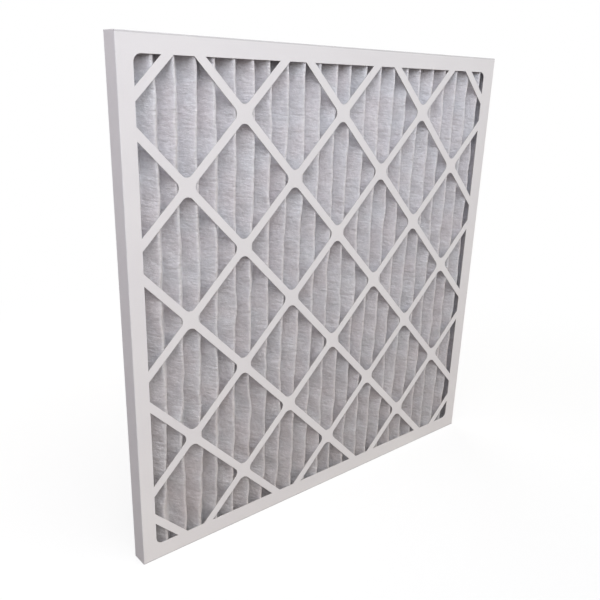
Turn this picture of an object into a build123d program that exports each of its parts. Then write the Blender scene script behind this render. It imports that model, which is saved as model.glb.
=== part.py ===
"""Pleated panel air filter, nominal 24 x 24 x 1 inch, in millimetres.

X runs across the filter, Y from the face that the air enters to the face that it leaves,
and Z up. The origin is the middle of the bottom edge. Two die-cut board trays nest in each
other, open side to open side, and hold a pleated media pack that has an expanded metal
grid on its downstream side. A bead of adhesive seals the pack all the way round.
"""

from build123d import *
import math
import os

os.makedirs("parts", exist_ok=True)

# Overall size, half an inch and an eighth of an inch under the nominal one
width = 596.9
height = 596.9
depth = 22.2

# Board trays
board = 0.7
crease_radius = 1.0
nest_clearance = 0.15
inner_wall_depth = 18.5
tab_length = 38.0
tab_setback = 1.2

# Face lattice, a little smaller than the face, and cut off centre
flange = 20.3
lattice_inset = 3.3
lattice_shift_x = -2.4
lattice_shift_z = 0.9
cells_across = 4
cells_up = 4
bar_width = 9.6
crossing_radius = 8.5
flange_corner_radius = 8.5

# Pleated media
panels = 47
media_thickness = 1.8
fold_flat = 2.2
glue_film = 0.2
end_tab = 2.0

# Expanded metal grid
grid_thickness = 0.4
grid_end_margin = 4.0
grid_rows = 3
slot_width = 7.6
slot_bridge = 9.0

# Adhesive
end_bead = 1.0
side_bead = 0.8

# The inner tray clears the walls and the corner tabs of the outer one
inner_tray_width = width - 2 * (board + nest_clearance)
inner_tray_height = height - 2 * (2 * board + nest_clearance)

# The pack fills the inner tray between the beads, and lies between the two lattices
pack_width = inner_tray_width - 2 * (board + side_bead)
pack_height = inner_tray_height - 2 * (board + end_bead)
pack_front = -depth / 2 + board + glue_film
pack_back = depth / 2 - board - glue_film - grid_thickness
panel_pitch = (pack_width - 2 * end_tab) / panels


def lattice_windows():
    """The openings of a face, from its middle: all that flange and bars leave free."""
    half_x = width / 2 - flange
    half_z = height / 2 - flange
    cell_x = (width - lattice_inset) / cells_across
    cell_z = (height - lattice_inset) / cells_up
    slope = math.degrees(math.atan2(cell_z, cell_x))
    bar = Rectangle(2 * (width + height), bar_width)
    free = Rectangle(2 * half_x, 2 * half_z)
    count = cells_across + cells_up
    for index in range(count):
        step = (index - (count - 1) / 2) / 2
        free -= Pos(step * cell_x, step * cell_z) * Rot(0, 0, -slope) * bar
        free -= Pos(step * cell_x, -step * cell_z) * Rot(0, 0, slope) * bar

    def borders(vertex):
        """How many sides of the flange a corner lies on: none where two bars cross."""
        return (abs(abs(vertex.X) - half_x) < 0.01) + (abs(abs(vertex.Y) - half_z) < 0.01)

    windows = []
    for face in free.faces():
        window = Sketch() + face
        for sides, radius in ((0, crossing_radius), (2, flange_corner_radius)):
            corners = [vertex for vertex in window.vertices() if borders(vertex) == sides]
            if corners:
                window = fillet(corners, radius)
        windows.append(Pos(lattice_shift_x, lattice_shift_z) * window)
    return windows


def tray(tray_width, tray_height, wall_depth, windows):
    """An open tray with its face at y = 0 and its walls towards +Y, about the face's middle."""
    lay = (Align.CENTER, Align.MIN, Align.CENTER)
    outside = Box(tray_width, wall_depth, tray_height, align=lay)
    face_edges = outside.faces().sort_by(Axis.Y)[0].edges()
    outside = fillet(face_edges, crease_radius)
    inside = Box(tray_width - 2 * board, wall_depth, tray_height - 2 * board, align=lay)
    face_edges = inside.faces().sort_by(Axis.Y)[0].edges()
    inside = fillet(face_edges, crease_radius - board)
    shell = outside - Pos(0, board, 0) * inside
    cuts = [extrude(Plane.XZ * window, amount=2 * board, both=True) for window in windows]
    return shell - cuts


def corner_tabs():
    """The end tabs of the outer tray's side walls, folded in under its top and bottom."""
    tab = Box(tab_length, depth - board - tab_setback, board)
    reach_x = width / 2 - board - tab_length / 2
    reach_z = height / 2 - 1.5 * board
    middle_y = (depth + board - tab_setback) / 2
    return [Pos(x, middle_y, z) * tab for x in (-reach_x, reach_x) for z in (-reach_z, reach_z)]


def parallel(points, distance):
    """A polyline moved sideways, to the left of its direction, with mitred corners."""
    normals = []
    for start, end in zip(points, points[1:]):
        length = math.dist(start, end)
        normals.append(((start[1] - end[1]) / length, (end[0] - start[0]) / length))
    moved = []
    for index, (x, y) in enumerate(points):
        before = normals[max(index - 1, 0)]
        after = normals[min(index, len(normals) - 1)]
        across = (before[0] + after[0], before[1] + after[1])
        scale = distance / (1 + before[0] * after[0] + before[1] * after[1])
        moved.append((x + across[0] * scale, y + across[1] * scale))
    return moved


def pleat_path():
    """The middle of the media in plan, as corner points: a tab along the leaving face, the
    panels with a narrow flat at each fold, and a tab along the entering face."""
    middle_y = (pack_front + pack_back) / 2
    reach = (pack_back - pack_front - media_thickness) / 2
    first_x = -pack_width / 2 + end_tab
    points = [(-pack_width / 2, middle_y + reach)]
    for index in range(panels + 1):
        fold_x = first_x + index * panel_pitch
        fold_y = middle_y + reach * (-1) ** index
        if index > 0:
            points.append((fold_x - fold_flat / 2, fold_y))
        if index < panels:
            points.append((fold_x + fold_flat / 2, fold_y))
    points.append((pack_width / 2, middle_y - reach))
    return points


def pleated_sheet(near, far, sheet_height):
    """A sheet between two distances behind the middle of the media, folded along with it."""
    path = pleat_path()
    section = make_face(Polyline(*parallel(path, near), *reversed(parallel(path, far)), close=True))
    return Pos(0, 0, (height - sheet_height) / 2) * extrude(section, amount=sheet_height, dir=(0, 0, 1))


def grid_slots(grid_height):
    """Slots through the panels of the grid, staggered from each panel to the next."""
    first_x = -pack_width / 2 + end_tab
    row = (grid_height - slot_bridge) / grid_rows
    slots = []
    for index in range(panels):
        rows = grid_rows if index % 2 == 0 else grid_rows - 1
        for number in range(rows):
            z = height / 2 + (number - (rows - 1) / 2) * row
            slot = Box(slot_width, 2 * depth, row - slot_bridge)
            slots.append(Pos(first_x + (index + 0.5) * panel_pitch, 0, z) * slot)
    return slots


windows = lattice_windows()
outer = tray(width, height, depth, windows) + corner_tabs()
inner = tray(inner_tray_width, inner_tray_height, inner_wall_depth, windows)
front_frame = Pos(0, -depth / 2, height / 2) * outer
rear_frame = Pos(0, depth / 2, height / 2) * mirror(inner, about=Plane.XZ)

half_media = media_thickness / 2
pleated_media = pleated_sheet(-half_media, half_media, pack_height)
grid_height = pack_height - 2 * grid_end_margin
support_grid = pleated_sheet(half_media, half_media + grid_thickness, grid_height) - grid_slots(grid_height)

bead_depth = pack_back - pack_front
bead_y = (pack_front + pack_back) / 2
end_z = (pack_height + end_bead) / 2
side_x = (pack_width + side_bead) / 2
end_seal = Box(pack_width + 2 * side_bead, bead_depth, end_bead)
side_seal = Box(side_bead, bead_depth, pack_height)

parts = {
    "front_frame": front_frame,
    "rear_frame": rear_frame,
    "pleated_media": pleated_media,
    "support_grid": support_grid,
    "seal_top": Pos(0, bead_y, height / 2 + end_z) * end_seal,
    "seal_bottom": Pos(0, bead_y, height / 2 - end_z) * end_seal,
    "seal_left": Pos(-side_x, bead_y, height / 2) * side_seal,
    "seal_right": Pos(side_x, bead_y, height / 2) * side_seal,
}

for name, shape in parts.items():
    export_step(shape, f"parts/{name}.step")
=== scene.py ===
"""Looks for the pleated panel air filter: coated board, pleated nonwoven, expanded metal.

Lengths are in metres and angles in degrees, except where a name says otherwise.
"""

import math

import bpy
import numpy as np
from mathutils import Matrix, Vector, noise


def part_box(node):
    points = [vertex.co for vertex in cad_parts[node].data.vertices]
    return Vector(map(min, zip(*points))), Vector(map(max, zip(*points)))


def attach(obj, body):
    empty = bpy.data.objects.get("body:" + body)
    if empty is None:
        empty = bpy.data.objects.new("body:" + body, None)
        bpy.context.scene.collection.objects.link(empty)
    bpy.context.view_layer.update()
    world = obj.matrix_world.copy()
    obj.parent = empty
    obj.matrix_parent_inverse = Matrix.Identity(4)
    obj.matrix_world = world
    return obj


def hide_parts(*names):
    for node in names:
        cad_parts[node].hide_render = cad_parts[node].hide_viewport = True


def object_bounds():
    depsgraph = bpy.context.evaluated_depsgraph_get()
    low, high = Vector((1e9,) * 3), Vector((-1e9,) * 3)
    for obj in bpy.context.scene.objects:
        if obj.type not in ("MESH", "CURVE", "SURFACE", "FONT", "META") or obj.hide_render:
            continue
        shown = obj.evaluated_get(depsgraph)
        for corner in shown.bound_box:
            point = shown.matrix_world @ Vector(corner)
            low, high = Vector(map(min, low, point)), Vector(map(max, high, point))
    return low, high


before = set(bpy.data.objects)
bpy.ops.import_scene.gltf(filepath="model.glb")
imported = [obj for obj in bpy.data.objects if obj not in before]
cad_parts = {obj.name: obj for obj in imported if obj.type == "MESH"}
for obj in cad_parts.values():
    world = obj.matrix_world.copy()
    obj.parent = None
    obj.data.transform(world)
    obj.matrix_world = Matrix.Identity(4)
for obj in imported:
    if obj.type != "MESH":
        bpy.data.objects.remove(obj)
CAD_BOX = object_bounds()

# Camera: in front of the filter, to its left and above its middle, looking right and down.
# The shift is in frame widths
EYE = Vector((-0.6053, -0.6375, 0.5574))
AZIMUTH = 41.09
DOWN = 19.70
ROLL = 1.91
SENSOR_MM = 36
LENS_MM = 40.75
SHIFT = (-0.0024, 0.0405)

# Board: the zone along the outside where the walls lie, within which there are no raw edges,
# and the painted shade, with the grey of the crushed coat, along the top and bottom folds:
# its width, how much it wanders, and tint
BOARD_RIM = 0.004
FOLD_CRUSH_AND_SHADE_WIDTH = 0.0024
FOLD_CRUSH_AND_SHADE_WANDER = 0.0012
FOLD_CRUSH_AND_SHADE_TINT = (0.60, 0.60, 0.60, 1)

# Colours of the materials, as (place, colour) stops along a noise from 0 to 1. The steel's
# roughness is given in the same way, as greys
COAT = [(0.3, (0.790, 0.770, 0.800)), (0.7, (0.825, 0.808, 0.830))]
COAT_FIBRES = [(0.3, (0.6, 0.6, 0.62)), (0.7, (0.9, 0.9, 0.9))]
COAT_FIBRE_SHARE = 0.10
RAW_CORE = [(0.35, (0.44, 0.43, 0.42)), (0.65, (0.62, 0.60, 0.58))]
NONWOVEN = [
    (0.25, (0.67, 0.65, 0.675)),
    (0.55, (0.735, 0.715, 0.745)),
    (0.8, (0.79, 0.775, 0.80)),
]
NONWOVEN_HUE = [(0.34, (0.975, 0.99, 1.0)), (0.66, (1.0, 0.975, 0.975))]
NONWOVEN_TUFTS = [(0.32, (0.87, 0.87, 0.87)), (0.64, (1.0, 1.0, 1.0))]
STEEL = [(0.35, (0.36, 0.37, 0.38)), (0.65, (0.58, 0.59, 0.60))]
STEEL_ROUGHNESS = [(0.3, (0.38, 0.38, 0.38)), (0.7, (0.55, 0.55, 0.55))]
GLUE = [(0.3, (0.70, 0.67, 0.58)), (0.7, (0.82, 0.80, 0.73))]

# Painted shade at the bottom of the media, darker and warmer, and painted light at its top,
# lighter and bluer
NONWOVEN_PAINTED_SHADING = [(0.0, (0.875, 0.865, 0.845)), (1.0, (1.12, 1.14, 1.15))]

# Crinkles run across the panels, because the noise is stretched sideways
CRINKLE_STRETCH = (0.3, 0.3, 1.0)

# Media: its panels and sizes, and how finely a fold, a panel's flank and the height are
# divided in the mesh
PANELS = 47
MEDIA_THICKNESS = 0.0018
FOLD_RADIUS = 0.0015
END_TAB = 0.002
FOLD_STEPS = 2
FLANK_STEPS = 5
ROWS = 114

# Folds on the entering side, from the left edge of the filter. Each step is longer than the
# one before by twice the growth, because the pack was spread by hand
FIRST_FOLD = 0.0138
FOLD_STEP = 0.0239
STEP_GROWTH = 0.000056

# How far the folds lean to the right from bottom to top, and how much they bow: both their
# ends stand a quarter of it to the left of their middle
LEAN = 0.0052
LEAN_BEND = -0.0080

# Unevenness of the folds: size, length along the fold, and seeds. The outermost folds are
# held, and they move freely from FREE_FROM folds in. Towards its bottom the pack is looser,
# there by a share of LOOSE_AT_BOTTOM
WANDER, WANDER_LENGTH, WANDER_SEEDS = 0.0024, 0.085, (3.7, 1.3)
WOBBLE, WOBBLE_LENGTH, WOBBLE_SEEDS = 0.0018, 0.024, (5.1, 8.9)
SINK, SINK_LENGTH, SINK_SEEDS = 0.0009, 0.05, (2.3, 4.4)
FREE_FROM = 2
LOOSE_AT_BOTTOM = 0.8

# Dents and creases of the panels: size, length up the panel, and seeds. Dents also change
# across a panel, and creases slant across it and are narrower the higher CREASE_NARROW is.
# A panel is stiff near each fold, within STIFF_SHARE of its depth
DENT, DENT_LENGTH, DENT_SEEDS = 0.00117, 0.017, (1.9, 3.1)
DENT_ACROSS = 1.1
CREASE, CREASE_LENGTH, CREASE_SEEDS = 0.0008, 0.012, (2.7, 7.7)
CREASE_SLANT = 1.2
CREASE_NARROW = 7
STIFF_SHARE = 0.06

# Expanded metal: pitch of the openings along the pleats and across them, margin at the
# ends, and half the size of a strand, with its width, its height and how far it stands off
# the media as multiples of that
DIAMOND_LONG = 0.0254
DIAMOND_SHORT = 0.0127
NET_MARGIN = 0.004
STRAND_RADIUS = 0.00044
STRAND_SHAPE = (1.3, 0.7)
STRAND_LIFT = 0.6
STRAND_POINTS = 6

# Floor: its reach, the share of its shaded look that shows near the filter, how far out that
# begins to fade and has faded to white, and its colour for other rays and for the camera
FLOOR_REACH = 30.0
FLOOR_SHOWS = 0.22
FLOOR_CLEAR = 0.35
FLOOR_FADED = 1.1
FLOOR_COLOURS = [(0.0, (0.22, 0.19, 0.175)), (1.0, (0.98, 0.98, 0.98))]

# Light: a very soft sun from the right, in front and above, and a faint sky
SUN_TOWARDS = (-0.32, 0.72, -0.62)
SUN_STRENGTH = 1.9
SUN_COLOUR = (1.09, 1.02, 0.90)
SUN_ANGLE = 90
SKY_COLOUR = (0.97, 0.98, 1.0, 1)
SKY_STRENGTH = 0.01
WHITE = (1, 1, 1, 1)

# Soft lamps: place, size, power in watts and colour
LAMPS = {
    "key": ((-0.2, -0.85, 1.45), 1.8, 10.4, (0.86, 1.0, 1.17)),
    "side": ((-1.1, -0.35, 1.32), 1.4, 11.8, (1.02, 0.985, 1.02)),
    "back": ((0.4, 1.7, 0.7), 1.8, 31.0, (1.0, 0.99, 0.98)),
}


def add_object(name, data):
    """An object with this data, in the scene."""
    obj = bpy.data.objects.new(name, data)
    bpy.context.collection.objects.link(obj)
    return obj


def camera():
    """The viewing angle of the photograph, for a square frame."""
    azimuth, down, roll = (math.radians(a) for a in (AZIMUTH, DOWN, ROLL))
    forward = Vector((
        math.sin(azimuth) * math.cos(down),
        math.cos(azimuth) * math.cos(down),
        -math.sin(down),
    ))
    level = Vector((math.cos(azimuth), -math.sin(azimuth), 0))
    right = level * math.cos(roll) + level.cross(forward) * math.sin(roll)
    up = right.cross(forward)
    data = bpy.data.cameras.new("camera")
    data.sensor_width = SENSOR_MM
    data.lens = LENS_MM
    data.shift_x, data.shift_y = SHIFT
    obj = add_object("camera", data)
    turn = Matrix((right, up, -forward)).transposed().to_4x4()
    obj.matrix_world = Matrix.Translation(EYE) @ turn
    bpy.context.scene.camera = obj


# Small helpers for node materials

def new_material(name):
    """A material, its node tree and its principled shader."""
    material = bpy.data.materials.new(name)
    material.use_nodes = True
    tree = material.node_tree
    return material, tree, tree.nodes["Principled BSDF"]


def set_inputs(tree, node, inputs):
    """Inputs of a node: one given as a socket is linked, any other is set."""
    for key, value in inputs.items():
        if isinstance(value, bpy.types.NodeSocket):
            tree.links.new(value, node.inputs[key])
        else:
            node.inputs[key].default_value = value


def add(tree, kind, inputs=None, **settings):
    """A node with its settings and inputs."""
    node = tree.nodes.new(kind)
    for key, value in settings.items():
        setattr(node, key, value)
    set_inputs(tree, node, inputs or {})
    return node


def object_place(tree):
    """Where a point lies in the object's own space."""
    return add(tree, "ShaderNodeTexCoord").outputs["Object"]


def math_node(tree, operation, first, second=0.0):
    """The result of one sum on sockets or numbers."""
    node = add(tree, "ShaderNodeMath", {0: first, 1: second}, operation=operation)
    return node.outputs[0]


def map_range(tree, value, low, high, to_low=0.0, to_high=1.0, **settings):
    """A value between low and high, moved to another range and kept inside it."""
    inputs = {"Value": value, "From Min": low, "From Max": high}
    inputs |= {"To Min": to_low, "To Max": to_high}
    return add(tree, "ShaderNodeMapRange", inputs, **settings).outputs[0]


def noise_node(tree, place, scale, detail=3.0, roughness=0.55):
    """Noise, with scale in features a metre."""
    inputs = {"Vector": place, "Scale": scale, "Detail": detail, "Roughness": roughness}
    return add(tree, "ShaderNodeTexNoise", inputs).outputs["Fac"]


def ramp(tree, factor, stops):
    """A colour ramp with (place, colour) stops."""
    node = add(tree, "ShaderNodeValToRGB", {"Fac": factor})
    elements = node.color_ramp.elements
    for index, (place, colour) in enumerate(stops):
        element = elements[index] if index < 2 else elements.new(place)
        element.position = place
        element.color = (*colour, 1)
    return node.outputs["Color"]


def mix_colour(tree, factor, first, second, blend="MIX"):
    """Two colours mixed by a factor. The node's colour sockets are 6 and 7, its result 2."""
    inputs = {0: factor, 6: first, 7: second}
    return add(tree, "ShaderNodeMix", inputs, data_type="RGBA", blend_type=blend).outputs[2]


def tinted(tree, colour, tint):
    """One colour times another."""
    return mix_colour(tree, 1.0, colour, tint, "MULTIPLY")


def bump(tree, height, distance, strength, under=None):
    """The normal of a bumpy surface, on top of the normal of another one."""
    inputs = {"Height": height, "Distance": distance, "Strength": strength}
    if under is not None:
        inputs["Normal"] = under
    return add(tree, "ShaderNodeBump", inputs).outputs["Normal"]


def depth_inside(tree, place, low, high):
    """How far a point lies inside a box, across, deep and up."""
    at = add(tree, "ShaderNodeSeparateXYZ", {0: place})
    inside = {}
    for axis, least, most in zip("XYZ", low, high):
        off = math_node(tree, "SUBTRACT", at.outputs[axis], (least + most) / 2)
        off = math_node(tree, "ABSOLUTE", off)
        inside[axis] = math_node(tree, "SUBTRACT", (most - least) / 2, off)
    return inside


def board_material(low, high):
    """Coated white board, with grey raw edges where the openings are cut."""
    material, tree, shader = new_material("coated_board")
    place = object_place(tree)
    clouds = noise_node(tree, place, scale=9.0, detail=2.0)
    waves = noise_node(tree, place, scale=26.0, detail=1.5)
    fibres = noise_node(tree, place, scale=900.0, detail=4.0, roughness=0.7)
    specks = noise_node(tree, place, scale=2200.0, detail=1.0)
    coat = ramp(tree, clouds, COAT)
    coat = mix_colour(tree, COAT_FIBRE_SHARE, coat, ramp(tree, fibres, COAT_FIBRES))

    # The raw core shows where a surface faces sideways, away from the walls
    inside = depth_inside(tree, place, low, high)
    normal = add(tree, "ShaderNodeNewGeometry").outputs["True Normal"]
    facing = add(tree, "ShaderNodeSeparateXYZ", {0: normal}).outputs["Y"]
    sideways = math_node(tree, "LESS_THAN", math_node(tree, "ABSOLUTE", facing), 0.5)
    from_rim = math_node(tree, "MINIMUM", inside["X"], inside["Z"])
    cut = math_node(tree, "GREATER_THAN", from_rim, BOARD_RIM)
    raw = math_node(tree, "MULTIPLY", sideways, cut)
    colour = mix_colour(tree, raw, coat, ramp(tree, specks, RAW_CORE))

    # Painted shade darkens the coat along the top and bottom folds, along with the grey of the
    # crushed coat there, where a point is near both a face and the top or bottom of the box
    near_fold = math_node(tree, "MAXIMUM", inside["Y"], inside["Z"])
    wander = math_node(tree, "SUBTRACT", clouds, 0.5)
    wander = math_node(tree, "MULTIPLY", wander, FOLD_CRUSH_AND_SHADE_WANDER)
    near_fold = math_node(tree, "ADD", near_fold, wander)
    crush_and_shade = map_range(
        tree, near_fold, 0.0, FOLD_CRUSH_AND_SHADE_WIDTH, to_low=1.0, to_high=0.0, interpolation_type="SMOOTHSTEP"
    )
    # Painted shade, with the grey of the crushed coat, along the top and bottom folds
    colour = mix_colour(tree, crush_and_shade, colour, tinted(tree, colour, FOLD_CRUSH_AND_SHADE_TINT))

    wavy = bump(tree, waves, distance=0.0012, strength=0.25)
    grainy = bump(tree, fibres, distance=0.0001, strength=0.35, under=wavy)
    set_inputs(tree, shader, {
        "Base Color": colour,
        "Roughness": 0.62,
        "Specular IOR Level": 0.35,
        "Normal": grainy,
    })
    return material


def media_material(low, high):
    """Thick nonwoven: matted fibres in clouds, with fine crinkles across the panels."""
    material, tree, shader = new_material("nonwoven_media")
    place = object_place(tree)
    stretched = {"Vector": place, "Scale": CRINKLE_STRETCH}
    stretched = add(tree, "ShaderNodeMapping", stretched).outputs[0]
    tint = noise_node(tree, place, scale=24.0, detail=2.0)
    clouds = noise_node(tree, place, scale=42.0, detail=4.0, roughness=0.6)
    crinkles = noise_node(tree, stretched, scale=210.0, detail=4.0, roughness=0.65)
    tufts = noise_node(tree, place, scale=230.0, detail=4.0, roughness=0.6)
    fibres = noise_node(tree, place, scale=1300.0, detail=5.0, roughness=0.75)
    height = add(tree, "ShaderNodeSeparateXYZ", {0: place}).outputs["Z"]
    height = map_range(tree, height, low.z, high.z)

    colour = ramp(tree, clouds, NONWOVEN)
    colour = tinted(tree, colour, ramp(tree, tint, NONWOVEN_HUE))
    colour = tinted(tree, colour, ramp(tree, tufts, NONWOVEN_TUFTS))
    # Painted shade towards the bottom of the media and painted light towards its top
    colour = tinted(tree, colour, ramp(tree, height, NONWOVEN_PAINTED_SHADING))
    lumpy = bump(tree, tufts, distance=0.0016, strength=0.6)
    wrinkled = bump(tree, crinkles, distance=0.0028, strength=0.75, under=lumpy)
    hairy = bump(tree, fibres, distance=0.0003, strength=0.5, under=wrinkled)
    set_inputs(tree, shader, {
        "Base Color": colour,
        "Roughness": 1.0,
        "Specular IOR Level": 0.1,
        "Sheen Weight": 0.15,
        "Sheen Roughness": 0.6,
        "Normal": hairy,
    })
    return material


def steel_material():
    """Thin galvanized steel, dull with pale spangle."""
    material, tree, shader = new_material("galvanized_steel")
    spangle = noise_node(tree, object_place(tree), scale=420.0, detail=2.0)
    set_inputs(tree, shader, {
        "Base Color": ramp(tree, spangle, STEEL),
        "Metallic": 0.75,
        "Roughness": ramp(tree, spangle, STEEL_ROUGHNESS),
    })
    return material


def adhesive_material():
    """Dried white glue with a soft lumpy skin."""
    material, tree, shader = new_material("dried_adhesive")
    lumps = noise_node(tree, object_place(tree), scale=160.0)
    set_inputs(tree, shader, {
        "Base Color": ramp(tree, lumps, GLUE),
        "Roughness": 0.45,
        "Normal": bump(tree, lumps, distance=0.001, strength=0.6),
    })
    return material


# Media

def panel_profile(run, rise):
    """One panel from fold to fold: places along run and rise, as shares from 0 to 1.

    A part turn of FOLD_RADIUS, a straight flank and the opposite turn.
    """
    centres = math.hypot(run, rise - 2 * FOLD_RADIUS)
    turn = math.atan2(rise - 2 * FOLD_RADIUS, run) + math.asin(2 * FOLD_RADIUS / centres)
    points = []
    for step in range(FOLD_STEPS + 1):
        angle = turn * step / FOLD_STEPS
        points.append((FOLD_RADIUS * math.sin(angle), FOLD_RADIUS * (1 - math.cos(angle))))
    start = np.array(points[-1])
    end = np.array((run, rise)) - start
    for step in range(1, FLANK_STEPS):
        points.append(tuple(start + (end - start) * step / FLANK_STEPS))
    for x, y in reversed(points[: FOLD_STEPS + 1]):
        points.append((run - x, rise - y))
    return [(x / run, y / rise) for x, y in points]


def wave(place, index, seeds):
    """Smooth noise from -1 to 1 at a place along a line, with a line for each index."""
    return noise.noise(Vector((place, index * seeds[0], seeds[1])))


def fold_places(first, last):
    """Where each fold lies across the filter. The first and last are where the tabs begin."""
    edge = CAD_BOX[0].x
    places = []
    for index in range(PANELS + 1):
        count = (index - 1) / 2
        spread = FOLD_STEP * count + STEP_GROWTH * (count - 1) ** 2
        places.append(edge + FIRST_FOLD + spread)
    places[0], places[-1] = first, last
    return places


def fold_point(index, place, z, height, back, front):
    """Where a fold is in plan at one height. Folds lie at the back and the front in turn."""
    free = min(1.0, index / FREE_FROM, (PANELS - index) / FREE_FROM)
    loose = 1.0 + LOOSE_AT_BOTTOM * (1 - height)
    shift = LEAN * (height - 0.5) + LEAN_BEND * (height - 0.5) ** 2
    shift += loose * WANDER * wave(z / WANDER_LENGTH, index, WANDER_SEEDS)
    shift += loose * WOBBLE * wave(z / WOBBLE_LENGTH, index, WOBBLE_SEEDS)
    sink = SINK * free * max(0.5 + wave(z / SINK_LENGTH, index, SINK_SEEDS), 0)
    depth = (back - sink) if index % 2 == 0 else (front + sink)
    return place + free * shift, depth


def panel_dent(index, along, rise, z, height):
    """How far a point of a panel stands off its flat: soft dents and slanting creases."""
    loose = 1.0 + LOOSE_AT_BOTTOM * (1 - height)
    from_fold = min(max((rise - STIFF_SHARE) / (1 - 2 * STIFF_SHARE), 0), 1)
    slack = math.sin(math.pi * from_fold)
    across = index * DENT_SEEDS[0] + along * DENT_ACROSS
    soft = noise.noise(Vector((across, z / DENT_LENGTH, DENT_SEEDS[1])))
    slant = CREASE_SLANT if index % 2 else -CREASE_SLANT
    up = z / CREASE_LENGTH + along * slant
    line = noise.noise(Vector((index * CREASE_SEEDS[0], up, CREASE_SEEDS[1])))
    crease = max(0, 1 - CREASE_NARROW * abs(line))
    return loose * DENT * slack * soft - CREASE * slack * crease


def media_surface():
    """The middle of the media as a grid of points: along the folded sheet, then up it."""
    low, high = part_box("pleated_media")
    half = MEDIA_THICKNESS / 2
    back, front = high.y - half, low.y + half
    first, last = low.x + END_TAB, high.x - END_TAB
    profile = panel_profile((last - first) / PANELS, back - front)
    places = fold_places(first, last)
    grid = []
    for z in np.linspace(low.z, high.z, ROWS + 1):
        height = (z - low.z) / (high.z - low.z)
        folds = [
            fold_point(index, place, z, height, back, front)
            for index, place in enumerate(places)
        ]
        row = [(low.x, folds[0][1], z)]

        # Each panel after the first begins where the one before it ended
        for index, ((x0, y0), (x1, y1)) in enumerate(zip(folds, folds[1:])):
            slope = math.atan2(abs(y1 - y0), x1 - x0)
            normal = (math.sin(slope), math.cos(slope) * (1 if y1 < y0 else -1))
            for along, rise in profile[min(index, 1):]:
                dent = panel_dent(index, along, rise, z, height)
                x = x0 + (x1 - x0) * along + dent * normal[0]
                y = y0 + (y1 - y0) * rise + dent * normal[1]
                row.append((x, y, z))
        row.append((high.x, folds[-1][1], z))
        grid.append(row)
    return np.array(grid).transpose(1, 0, 2)


def unit(vectors):
    """Vectors of length 1, along the last axis of an array."""
    return vectors / np.linalg.norm(vectors, axis=-1, keepdims=True)


def surface_normals(grid):
    """Unit normals of a grid of points, on the leaving side."""
    along = np.gradient(grid, axis=0)
    up = np.gradient(grid, axis=1)
    return unit(np.cross(up, along))


def mesh_object(name, vertices, faces, material, smooth):
    """A mesh object that rides on the filter."""
    mesh = bpy.data.meshes.new(name)
    mesh.from_pydata([tuple(v) for v in vertices], [], faces)
    mesh.materials.append(material)
    if smooth:
        mesh.shade_smooth()
    obj = add_object(name, mesh)
    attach(obj, "root")
    return obj


def pleated_media(grid, normals, material):
    """The media as a closed sheet of its real thickness."""
    columns, rows = grid.shape[:2]
    half = normals * MEDIA_THICKNESS / 2
    vertices = np.concatenate([(grid - half).reshape(-1, 3), (grid + half).reshape(-1, 3)])
    offset = columns * rows

    def at(column, row, side):
        return side * offset + column * rows + row

    faces = []
    for c in range(columns - 1):
        for r in range(rows - 1):
            faces.append((at(c, r, 0), at(c + 1, r, 0), at(c + 1, r + 1, 0), at(c, r + 1, 0)))
            faces.append((at(c, r, 1), at(c, r + 1, 1), at(c + 1, r + 1, 1), at(c + 1, r, 1)))
        top = rows - 1
        faces.append((at(c, 0, 0), at(c, 0, 1), at(c + 1, 0, 1), at(c + 1, 0, 0)))
        faces.append((at(c, top, 0), at(c + 1, top, 0), at(c + 1, top, 1), at(c, top, 1)))
    for r in range(rows - 1):
        end = columns - 1
        faces.append((at(0, r, 0), at(0, r + 1, 0), at(0, r + 1, 1), at(0, r, 1)))
        faces.append((at(end, r, 0), at(end, r, 1), at(end, r + 1, 1), at(end, r + 1, 0)))
    obj = mesh_object("media_pack", vertices, faces, material, smooth=True)
    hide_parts("pleated_media")


def share_between(values, value):
    """The step of a rising list that a value lies in, and how far along it as a share."""
    step = np.clip(np.searchsorted(values, value) - 1, 0, len(values) - 2)
    return step, (value - values[step]) / (values[step + 1] - values[step])


def strand(points):
    """A flat four-sided strand through points: its vertices and its faces."""
    count = len(points)
    ahead = unit(np.gradient(points, axis=0))
    across = unit(np.cross(ahead, (0, 1, 0)))
    out = np.cross(across, ahead)
    wide, high = STRAND_SHAPE
    corners = [(-1, -1), (1, -1), (1, 1), (-1, 1)]
    vertices = []
    for point, sideways, outward in zip(points, across, out):
        for i, j in corners:
            vertices.append(point + STRAND_RADIUS * (i * sideways * wide + j * outward * high))
    faces = []
    for ring in range(0, 4 * (count - 1), 4):
        for corner in range(4):
            a, b = ring + corner, ring + (corner + 1) % 4
            faces.append((a, b, b + 4, a + 4))
    last = 4 * (count - 1)
    faces.append((3, 2, 1, 0))
    faces.append((last, last + 1, last + 2, last + 3))
    return vertices, faces


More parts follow.
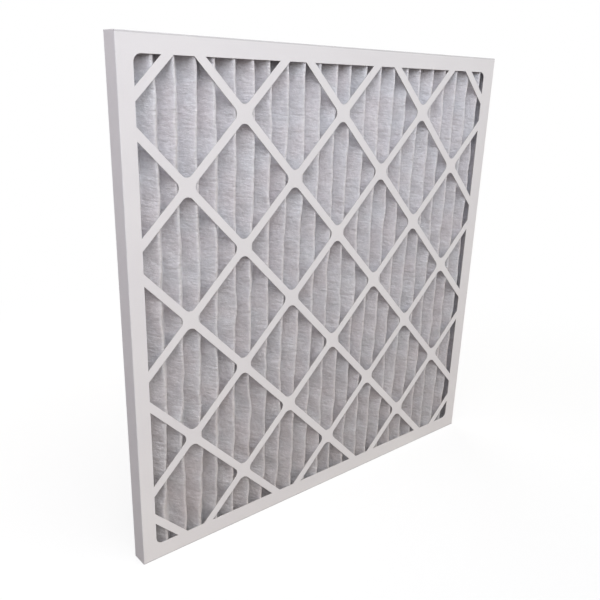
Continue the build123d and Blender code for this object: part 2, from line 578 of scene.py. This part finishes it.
def expanded_metal(grid, normals, material):
    """The net on the leaving side: zigzag strands that meet at knuckles, folded with the media."""
    steps_along = np.linalg.norm(np.diff(grid[:, grid.shape[1] // 2], axis=0), axis=1)
    travelled = np.concatenate([[0], np.cumsum(steps_along)])
    heights = grid[0, :, 2]
    skin = grid + normals * (MEDIA_THICKNESS / 2 + STRAND_RADIUS * STRAND_LIFT)
    low_z, high_z = heights[0] + NET_MARGIN, heights[-1] - NET_MARGIN
    length = travelled[-1]

    def on_skin(along, z):
        column, a = share_between(travelled, along)
        row, b = share_between(heights, z)
        near = skin[column, row] * (1 - a) + skin[column + 1, row] * a
        far = skin[column, row + 1] * (1 - a) + skin[column + 1, row + 1] * a
        return near * (1 - b) + far * b

    zigzags = int((length - NET_MARGIN) / (DIAMOND_SHORT / 2))
    steps_up = int((high_z - low_z) / (DIAMOND_LONG / 2))
    vertices, faces = [], []
    for number in range(1, zigzags, 2):
        centre = number * DIAMOND_SHORT / 2 + NET_MARGIN / 2
        points = []
        for step in range(steps_up):
            for part in range(STRAND_POINTS):
                share = part / STRAND_POINTS
                sway = (1 - 2 * share) * (1 if step % 2 == 0 else -1)
                along = centre + sway * (DIAMOND_SHORT / 2 - STRAND_RADIUS)
                z = low_z + (step + share) * DIAMOND_LONG / 2
                points.append(on_skin(min(max(along, 0), length), z))
        start = len(vertices)
        new_vertices, new_faces = strand(np.array(points))
        vertices += new_vertices
        faces += [tuple(start + vertex for vertex in face) for face in new_faces]
    obj = mesh_object("expanded_metal", vertices, faces, material, smooth=False)
    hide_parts("support_grid")


# Surroundings

def seen_directly(tree):
    """1 where the camera, a gloss or a glass looks at the surface, otherwise 0."""
    path = add(tree, "ShaderNodeLightPath")
    seen = math_node(tree, "ADD", path.outputs["Is Camera Ray"], path.outputs["Is Glossy Ray"])
    seen = math_node(tree, "ADD", seen, path.outputs["Is Transmission Ray"])
    return math_node(tree, "MINIMUM", seen, 1.0)


def floor_material():
    """Pale floor: white with the filter's faint shadow to the camera, darker to other rays."""
    material, tree, shader = new_material("pale_floor")
    seen = seen_directly(tree)
    set_inputs(tree, shader, {
        "Base Color": ramp(tree, seen, FLOOR_COLOURS),
        "Roughness": 0.9,
        "Specular IOR Level": 0.0,
    })
    white = add(tree, "ShaderNodeEmission", {"Color": WHITE, "Strength": 1.0})
    place = {0: object_place(tree)}
    away = add(tree, "ShaderNodeVectorMath", place, operation="LENGTH").outputs["Value"]
    whiten = map_range(
        tree, away, FLOOR_CLEAR, FLOOR_FADED,
        to_low=1 - FLOOR_SHOWS, interpolation_type="SMOOTHSTEP",
    )
    factor = math_node(tree, "MULTIPLY", seen, whiten)
    both = {0: factor, 1: shader.outputs[0], 2: white.outputs[0]}
    both = add(tree, "ShaderNodeMixShader", both)
    tree.links.new(both.outputs[0], tree.nodes["Material Output"].inputs["Surface"])
    return material


def floor():
    """A wide flat floor under the filter."""
    mesh = bpy.data.meshes.new("floor")
    reach = FLOOR_REACH
    corners = [(-reach, -reach, 0), (reach, -reach, 0), (reach, reach, 0), (-reach, reach, 0)]
    mesh.from_pydata(corners, [], [(0, 1, 2, 3)])
    mesh.materials.append(floor_material())
    add_object("floor", mesh)


def surround():
    """A faint sky that looks white to the camera."""
    world = bpy.data.worlds.new("surround")
    bpy.context.scene.world = world
    world.use_nodes = True
    tree = world.node_tree
    light = add(tree, "ShaderNodeBackground", {"Color": SKY_COLOUR, "Strength": SKY_STRENGTH})
    white = add(tree, "ShaderNodeBackground", {"Color": WHITE, "Strength": 1.0})
    both = {0: seen_directly(tree), 1: light.outputs[0], 2: white.outputs[0]}
    both = add(tree, "ShaderNodeMixShader", both)
    tree.links.new(both.outputs[0], tree.nodes["World Output"].inputs["Surface"])


def light_object(name, data, towards):
    """A light that shines in a direction."""
    obj = add_object(name, data)
    obj.rotation_euler = towards.to_track_quat("-Z", "Y").to_euler()
    return obj


def sun():
    """The soft sun."""
    data = bpy.data.lights.new("sun", "SUN")
    data.energy = SUN_STRENGTH
    data.color = SUN_COLOUR
    data.angle = math.radians(SUN_ANGLE)
    light_object("sun", data, Vector(SUN_TOWARDS))


def lamp(name, place, size, power, colour):
    """A square area lamp aimed at the middle of the filter."""
    data = bpy.data.lights.new(name, "AREA")
    data.size = size
    data.energy = power
    data.color = colour
    low, high = CAD_BOX
    obj = light_object(name, data, (low + high) / 2 - Vector(place))
    obj.location = place


def dress_cad_nodes():
    """Materials for the CAD nodes that show as they are."""
    board = board_material(*CAD_BOX)
    glue = adhesive_material()
    for name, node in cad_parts.items():
        if name.endswith("frame"):
            chosen = board
        elif name.startswith("seal"):
            chosen = glue
        else:
            continue
        node.data.materials.clear()
        node.data.materials.append(chosen)


camera()
dress_cad_nodes()
sheet_grid = media_surface()
sheet_normals = surface_normals(sheet_grid)
pleated_media(sheet_grid, sheet_normals, media_material(*CAD_BOX))
expanded_metal(sheet_grid, sheet_normals, steel_material())
floor()
surround()
sun()
for lamp_name, settings in LAMPS.items():
    lamp(lamp_name, *settings)
bpy.context.scene.view_settings.view_transform = "Standard"
